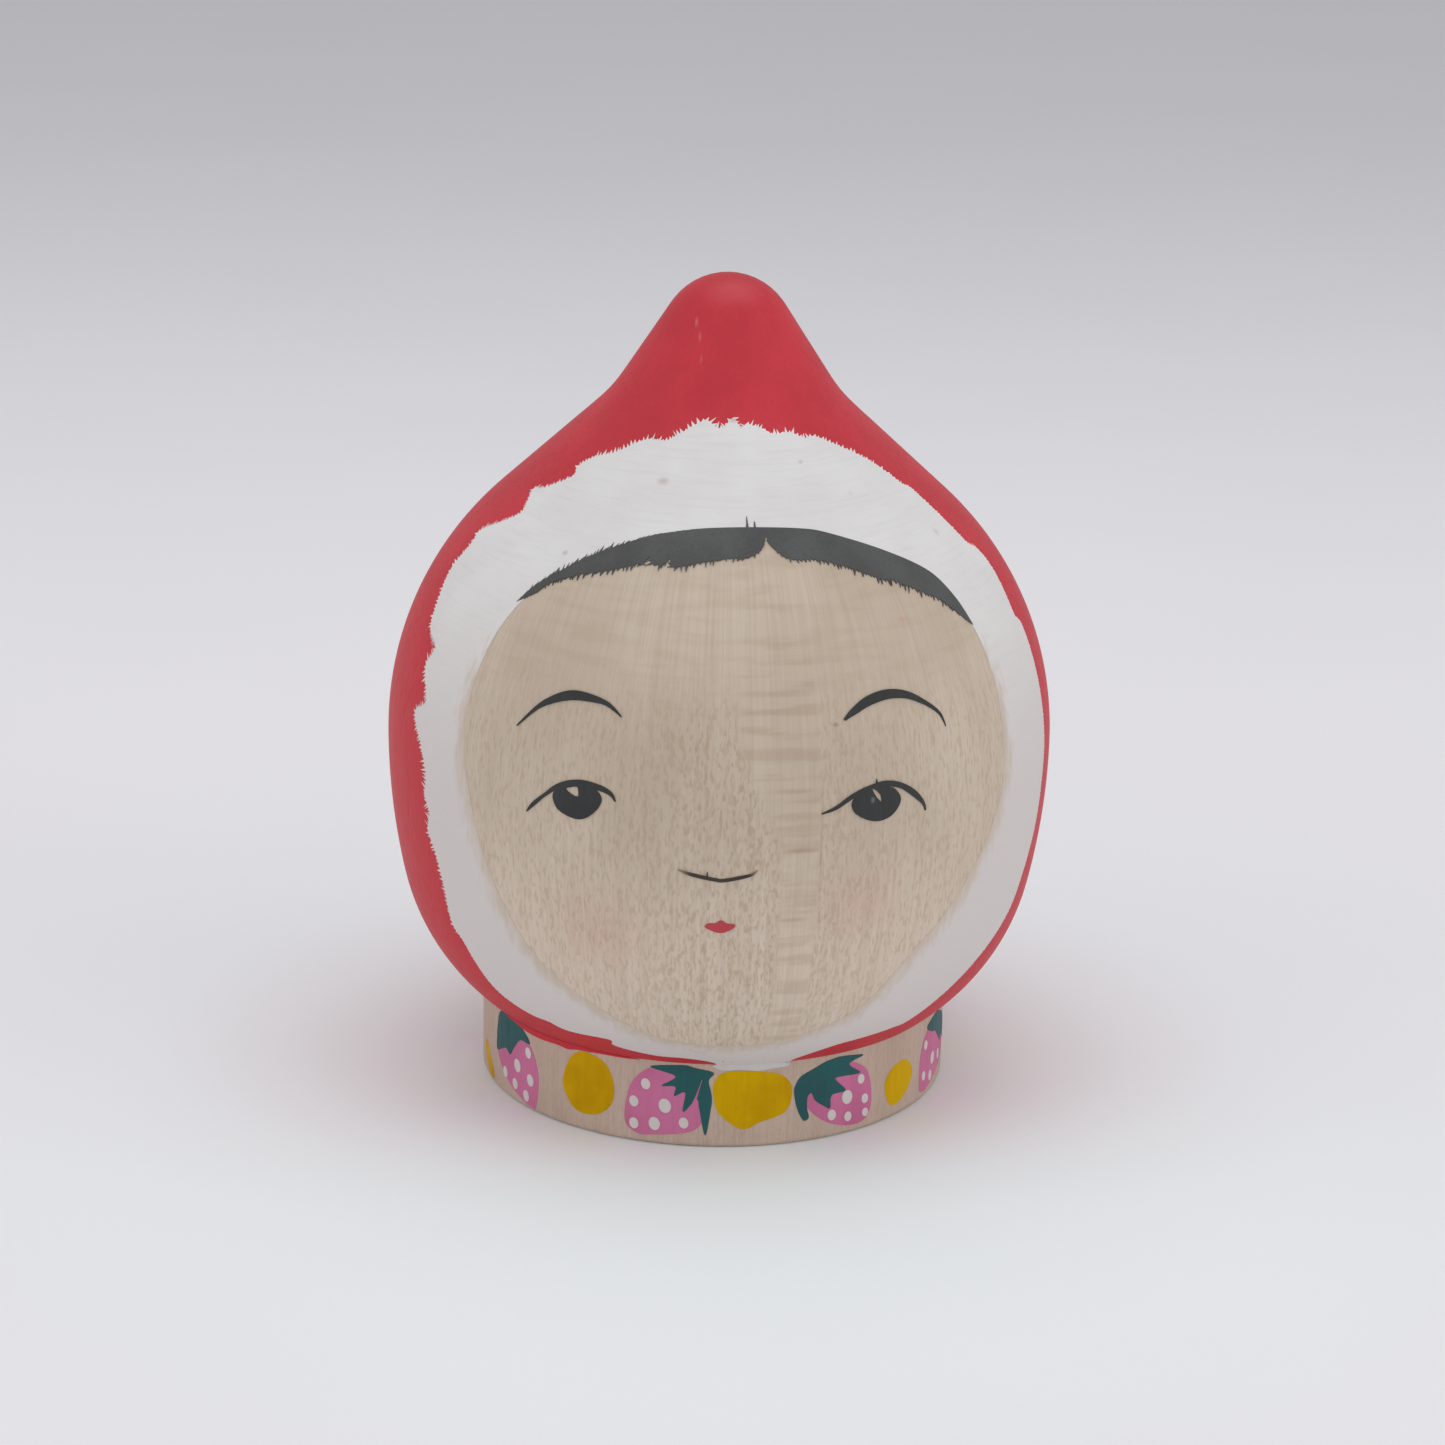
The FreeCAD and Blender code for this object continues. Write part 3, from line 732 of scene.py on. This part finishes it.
# Strokes are azimuth, height and width along the middle. Closed shapes are azimuth and height.
BROW_LEFT = [
    (-36.4, 39.7, 0.1), (-33, 41.5, 0.35), (-30.2, 42.4, 0.65), (-27, 43.0, 0.85), (-24, 43.1, 0.75),
    (-20.5, 42.9, 0.45), (-18.6, 42.5, 0.3), (-16.9, 41.9, 0.1),
]
BROW_RIGHT = [
    (21.8, 41.8, 0.2), (23.7, 42.4, 0.6), (26.8, 43.1, 0.85), (30.7, 43.4, 0.85), (34.6, 43.1, 0.65),
    (38.2, 42.2, 0.4), (41, 41.1, 0.25), (42, 39.9, 0.05),
]
LID_LEFT = [
    (-32.9, 32.6, 0.1), (-31.6, 33.4, 0.35), (-29.5, 34.4, 0.3), (-27.3, 35.3, 0.45), (-25, 35.8, 0.55),
    (-22.5, 36.0, 0.55), (-19.5, 35.8, 0.5), (-17.6, 35.4, 0.35), (-16.8, 34.8, 0.1),
]
LID_RIGHT = [
    (17.2, 34.1, 0.1), (19.6, 34.5, 0.3), (22.7, 35.4, 0.4), (25.8, 35.9, 0.5), (28.8, 36.1, 0.5),
    (31.7, 35.7, 0.5), (34.2, 34.8, 0.55), (36, 33.8, 0.3), (36.5, 33.1, 0.1),
]
IRIS_LEFT = [
    (-27.8, 34.8), (-27.3, 33.6), (-25.5, 33.0), (-23, 32.8), (-21, 33.3), (-19.4, 34.3), (-19.3, 35.1),
    (-21, 35.8), (-24.5, 35.9),
]
IRIS_RIGHT = [
    (22.6, 35.0), (22.8, 34.0), (25, 33.2), (27.5, 32.9), (29.9, 33.3), (31.4, 34.3), (31.1, 35.1),
    (29.3, 35.8), (25, 35.7),
]
LASH_RIGHT = [(27, 36.1, 0.2), (27, 36.6, 0.05)]
GLINT_LEFT = [(-25.6, 35.3), (-24.6, 35.5), (-23.5, 35.6), (-23.3, 34.8), (-24.5, 34.9)]
GLINT_RIGHT = [(26.2, 35.8, 0.1), (26.7, 35.5, 0.3), (27.3, 35.1, 0.4), (27.8, 34.6, 0.1)]
NOSE_LINE = [
    (-6.2, 29.2, 0.1), (-3.8, 28.8, 0.3), (0, 28.4, 0.3), (1.2, 28.35, 0.3), (3.8, 28.6, 0.3),
    (5.9, 28.9, 0.2), (6.8, 29.3, 0.05),
]
NOSE_TICK = [(-1.4, 28.5, 0.2), (-1.4, 29.1, 0.05)]
MOUTH = [
    (-1.7, 24.0), (-1, 24.3), (0.1, 24.3), (1, 24.6), (2, 24.3), (3.4, 24.2), (2.9, 23.8), (1.1, 23.4),
    (-0.9, 23.7),
]


def face_film(name, fill, cut=(), slot="black_paint", spacing=0.4, look=None):
    """One feature of the face."""
    film(name, head, fill, FACE_COAT, slot, "head", cut=cut, spacing=spacing, look=look)


def paint_face():
    """Brows, eyes, the nose line and the mouth."""
    face_film("brow_left_paint", [stroke(head, BROW_LEFT)])
    face_film("brow_right_paint", [stroke(head, BROW_RIGHT)])
    face_film("eye_left_paint", [stroke(head, LID_LEFT), blob(head, IRIS_LEFT)],
              cut=[blob(head, GLINT_LEFT)])
    right_eye = [stroke(head, LID_RIGHT), blob(head, IRIS_RIGHT), stroke(head, LASH_RIGHT)]
    face_film("eye_right_paint", right_eye, cut=[stroke(head, GLINT_RIGHT)])
    face_film("nose_line_paint", [stroke(head, NOSE_LINE), stroke(head, NOSE_TICK)], look="line_black")
    face_film("mouth_paint", [blob(head, MOUTH)], slot="lip_paint", spacing=0.3)


# ---------------------------------------------------------------- collar

# Outlines are azimuth and height. A seed is an azimuth, a height and a size in mm.
BERRY_STEM_RIGHT = {
    "body": [(-21, 2.1), (-19.5, 5.5), (-14.5, 7.3), (-8, 7.2), (-2.5, 6.0), (-1.5, 3.5), (-4, 1.6),
             (-14, 0.9),
             (-18, 0.9)],
    "leaf": [(-14.7, 7.4), (-6.8, 7.8), (-4.1, 7.6), (0.5, 7.2), (-0.6, 6.4), (0.2, 4.9), (0.0, 3.65),
             (-1.2, 1.2),
             (-2.7, 3.6), (-3.4, 4.6), (-6.6, 3.35), (-6.2, 5.2), (-8.8, 4.8), (-8.6, 5.7), (-11.9, 5.7),
             (-8.6, 6.7)],
    "seeds": [(-15.8, 5.7, 1.0), (-18.7, 3.9, 1.0), (-11.0, 3.8, 1.3), (-18.6, 1.8, 1.0), (-13.5, 2.0, 1.2),
              (-6.4, 2.3, 1.0)],
}
BERRY_STEM_LEFT = {
    "body": [(36.5, 6.8), (41, 5.5), (42.5, 2.6), (40.5, 1.0), (35.5, 0.8), (29, 1.6), (24, 3.2),
             (23.5, 4.8),
             (26, 6.4), (31, 7.1)],
    "leaf": [(20.5, 5.6), (21.9, 6.4), (25.4, 7.0), (28.5, 7.45), (32.3, 7.65), (36.4, 7.5), (39.3, 7.25),
             (35.1, 6.75), (38.5, 5.65), (33.8, 5.7), (31.2, 5.6), (34.2, 4.3), (30.3, 4.1), (29.9, 2.9),
             (28.2, 3.2), (25.7, 3.9), (24.7, 4.65), (23.7, 4.3), (23.7, 3.2), (24.2, 2.35), (22.9, 2.1),
             (21.6, 2.85), (20.7, 3.85), (20.2, 5.0)],
    "seeds": [(38.8, 5.0, 0.9), (34.7, 3.6, 1.3), (40.2, 3.0, 0.9), (30.4, 2.2, 1.0), (35.1, 1.7, 0.9),
              (40.4, 1.65, 0.8)],
}
BERRY_FAR_LEFT = {
    "body": [(-66.5, 3.9), (-60, 1.6), (-50, 0.4), (-47.5, 0.8), (-47, 4.0), (-50.5, 6.4), (-56, 7.0),
             (-63, 6.4)],
    "leaf": [(-64.5, 7.8), (-66.5, 6.0), (-66.8, 5.1), (-66.5, 3.8), (-61.5, 4.6), (-59.0, 4.3),
             (-57.3, 5.1), (-54.2, 6.3),
             (-50.3, 6.4), (-52.5, 7.3), (-57.0, 7.9)],
    "seeds": [(-50.8, 5.5, 1.0), (-55.4, 3.7, 1.2), (-61.4, 2.3, 1.0), (-49.9, 2.95, 1.1),
              (-56.4, 1.8, 1.0),
              (-51.5, 1.25, 1.0)],
}
BERRY_FAR_RIGHT = {
    "body": [(67, 6.6), (63, 4.7), (62.5, 1.5), (64, 0.8), (69, 0.9), (82, 2.3), (84, 4.0), (80, 6.4),
             (73, 7.0)],
    "leaf": [(67.9, 7.1), (66.8, 6.6), (70.5, 5.9), (73.0, 5.6), (79.0, 3.9), (80.5, 4.3), (85.0, 3.4),
             (84.0, 5.6),
             (75.5, 7.3)],
    "seeds": [(65.7, 5.2, 0.9), (70.9, 3.3, 1.2), (64.9, 2.3, 0.9), (69.4, 1.75, 1.0), (76.5, 2.9, 1.0)],
}
DOTS = [
    [(-77.5, 3.2), (-74.5, 3.1), (-71.5, 2.1), (-68.5, 0.7), (-71.5, 0.5), (-74.5, 1.1), (-77.5, 2.2)],
    [(-38.5, 4.5), (-36, 6.8), (-32, 7.6), (-26.5, 7.0), (-24, 5.2), (-24.5, 3.2), (-28.5, 1.9), (-34, 1.8),
     (-37.5, 3.0)],
    [(0.8, 6.4), (4, 7.3), (14, 7.1), (18.5, 6.3), (19.7, 4.9), (18, 3.2), (12, 2.4), (7.5, 1.8),
     (2, 3.3), (0.6, 5.0)],
    [(47, 3.4), (48.5, 4.6), (52, 5.2), (56, 5.0), (58.5, 3.7), (56.5, 2.2), (52.5, 1.3), (49, 1.5)],
]
UNSEEN_BERRIES = [  # azimuth, and the strawberry repeated there
    (121, BERRY_STEM_RIGHT), (168, BERRY_STEM_LEFT), (-145, BERRY_STEM_RIGHT), (-99, BERRY_STEM_LEFT),
]
UNSEEN_DOTS = [  # azimuth, width, height, tilt
    (99, 5.0, 4.2, 8), (145, 5.6, 4.6, -6), (-168, 5.0, 4.4, 10), (-122, 5.4, 4.8, 0),
]
DOT_HEIGHT = 4.0
DOT_POINTS = 28
SEED_WIDE, SEED_TALL, SEED_TILT = 0.85, 1.05, 12
LEAF_GAP = [(-4.1, 4.1, 0.35), (-3.2, 5.2, 0.14), (-2.2, 6.5, 0.05)]
WHITE_SMEAR = [
    (1.0, 7.98), (17.0, 7.98), (18.5, 7.6), (15.0, 7.5), (11.0, 7.35), (7.0, 7.5), (3.0, 7.45), (0.8, 7.7),
]
RED_RUN = [
    (-59.0, 7.98), (-20.0, 7.98), (-20.5, 7.85), (-27.0, 7.8), (-31.0, 7.7), (-34.1, 7.62),
    (-37.0, 7.42), (-40.5, 7.5), (-46.0, 7.42), (-51.2, 7.5), (-55.5, 7.72),
]


def turned_to(berry, azimuth):
    """A copy of a strawberry whose body is centred on the azimuth."""
    angles = [a for a, _ in berry["body"]]
    turn = azimuth - 0.5 * (min(angles) + max(angles))
    return {part: [(row[0] + turn, *row[1:]) for row in rows] for part, rows in berry.items()}


def paint_collar():
    """Strawberries and yellow dots in turn, eight of each, and the paint that ran over the seam."""
    berries = [BERRY_FAR_LEFT, BERRY_STEM_RIGHT, BERRY_STEM_LEFT, BERRY_FAR_RIGHT]
    berries += [turned_to(berry, azimuth) for azimuth, berry in UNSEEN_BERRIES]
    bodies = [blob(collar, berry["body"]) for berry in berries]
    leaves = [blob(collar, berry["leaf"], step=0.2) for berry in berries]
    seeds = [spot(collar, azimuth, height, size * SEED_WIDE, size * SEED_TALL, SEED_TILT)
             for berry in berries for azimuth, height, size in berry["seeds"]]
    dots = [blob(collar, dot) for dot in DOTS]
    dots += [spot(collar, azimuth, DOT_HEIGHT, wide, tall, tilt, DOT_POINTS)
             for azimuth, wide, tall, tilt in UNSEEN_DOTS]
    film("yellow_dot_paint", collar, dots, DOT_COAT, "yellow_paint", "collar")
    film("strawberry_paint", collar, bodies, DOT_COAT, "pink_paint", "collar")
    film("leaf_paint", collar, leaves, LEAF_COAT, "green_paint", "collar", spacing=0.5,
         cut=[stroke(collar, LEAF_GAP)])
    film("seed_paint", collar, seeds, SEED_COAT, "white_paint", "collar", spacing=0.4)
    film("collar_smear_paint", collar, [blob(collar, WHITE_SMEAR, step=0.2)], RUN_COAT, "white_paint",
         "collar", spacing=0.4, look="thin_white")
    film("collar_run_paint", collar, [blob(collar, RED_RUN, step=0.2)], RUN_COAT, "red_paint",
         "collar", spacing=0.4)


paint_hood_and_trim()
paint_hair()
paint_face()
paint_collar()


# ---------------------------------------------------------------- camera, lights and floor

LENS = 109.9
SENSOR = 36.0
CAMERA_DISTANCE = 0.4
CAMERA_ELEVATION = math.radians(17.2)
CAMERA_ROLL = math.radians(1.27)
AIM = Vector((0.0003, 0.0, 0.0328))
ORBIT_CENTRE = Vector((0.0, 0.0, 0.038))


def add_camera():
    data = bpy.data.cameras.new("camera")
    data.lens = LENS
    data.sensor_width = SENSOR
    data.clip_start = 0.01
    camera = bpy.data.objects.new("camera", data)
    bpy.context.scene.collection.objects.link(camera)
    back = Vector((0, -math.cos(CAMERA_ELEVATION), math.sin(CAMERA_ELEVATION)))
    camera.location = ORBIT_CENTRE + back * CAMERA_DISTANCE
    facing = (AIM - camera.location).to_track_quat("-Z", "Y").to_matrix()
    camera.rotation_euler = (facing @ Matrix.Rotation(CAMERA_ROLL, 3, "Z")).to_euler()
    bpy.context.scene.camera = camera


def add_area_light(name, place, aim, width, height, watts):
    data = bpy.data.lights.new(name, "AREA")
    data.shape = "RECTANGLE"
    data.size, data.size_y = width, height
    data.energy = watts
    light = bpy.data.objects.new(name, data)
    bpy.context.scene.collection.objects.link(light)
    light.location = place
    light.rotation_euler = (Vector(aim) - Vector(place)).to_track_quat("-Z", "Y").to_euler()


FLOOR_HALF = 2.5
FLOOR_PALE, FLOOR_MOTTLE = (0.95, 0.94, 0.96), (0.935, 0.925, 0.945)
# The near tone is a painted cool tint that offsets the red light the hood throws on to the floor round the
# doll.
FLOOR_TINT_AGAINST_RED_BOUNCE, FLOOR_FAR_SHADE = (0.925, 0.985, 1.0), (0.58, 0.57, 0.59)


def add_floor():
    """A pale board that runs far behind the doll, darkened towards the back by painted shade."""
    shader = Shader("floor")
    soft = shader.noise((60, 60, 60), detail=2.0)
    tone = shader.blend(shader.ramp(soft, 0.3, 0.7), FLOOR_PALE, FLOOR_MOTTLE)
    out = shader.length(shader.space)
    # Painted reflection, countered: within about 110 mm of the axis the floor takes a cool tint against the
    # red bounce from the hood.
    tone = shader.blend(shader.ramp(out, 110.0, 25.0), tone, FLOOR_TINT_AGAINST_RED_BOUNCE)
    # Painted shade: from 100 mm to 520 mm behind the doll the floor is carried half way to a darker tone,
    # where less light falls.
    back = shader.ramp(shader.part("Y"), 100.0, 520.0, 0.0, 0.5)
    shader.put(shader.surface.inputs["Base Color"], shader.blend(back, tone, FLOOR_FAR_SHADE))
    shader.surface.inputs["Roughness"].default_value = 0.75
    half = FLOOR_HALF
    mesh = bpy.data.meshes.new("floor")
    corners = [(-half, -half, 0), (half, -half, 0), (half, half, 0), (-half, half, 0)]
    mesh.from_pydata(corners, [], [(0, 1, 2, 3)])
    mesh.materials.append(shader.material)
    floor = bpy.data.objects.new("floor", mesh)
    bpy.context.scene.collection.objects.link(floor)


def light_scene():
    world = bpy.data.worlds.new("studio")
    world.use_nodes = True
    background = world.node_tree.nodes["Background"]
    background.inputs["Color"].default_value = (0.97, 0.97, 1.0, 1.0)
    background.inputs["Strength"].default_value = 0.53
    bpy.context.scene.world = world
    add_area_light("softbox", (0.0, 0.0, 0.6), (0, 0.0, 0), 0.6, 0.6, 1.0)
    add_area_light("left_light", (-0.5, -0.2, 0.2), (0, 0, 0.03), 0.5, 0.4, 0.45)
    add_area_light("right_light", (0.5, -0.2, 0.2), (0, 0, 0.03), 0.5, 0.4, 0.6)
    add_area_light("front_light", (0.0, -0.7, 0.12), (0, 0, 0.03), 0.7, 0.24, 0.12)
    bpy.context.scene.view_settings.view_transform = "Standard"


add_floor()
add_camera()
light_scene()
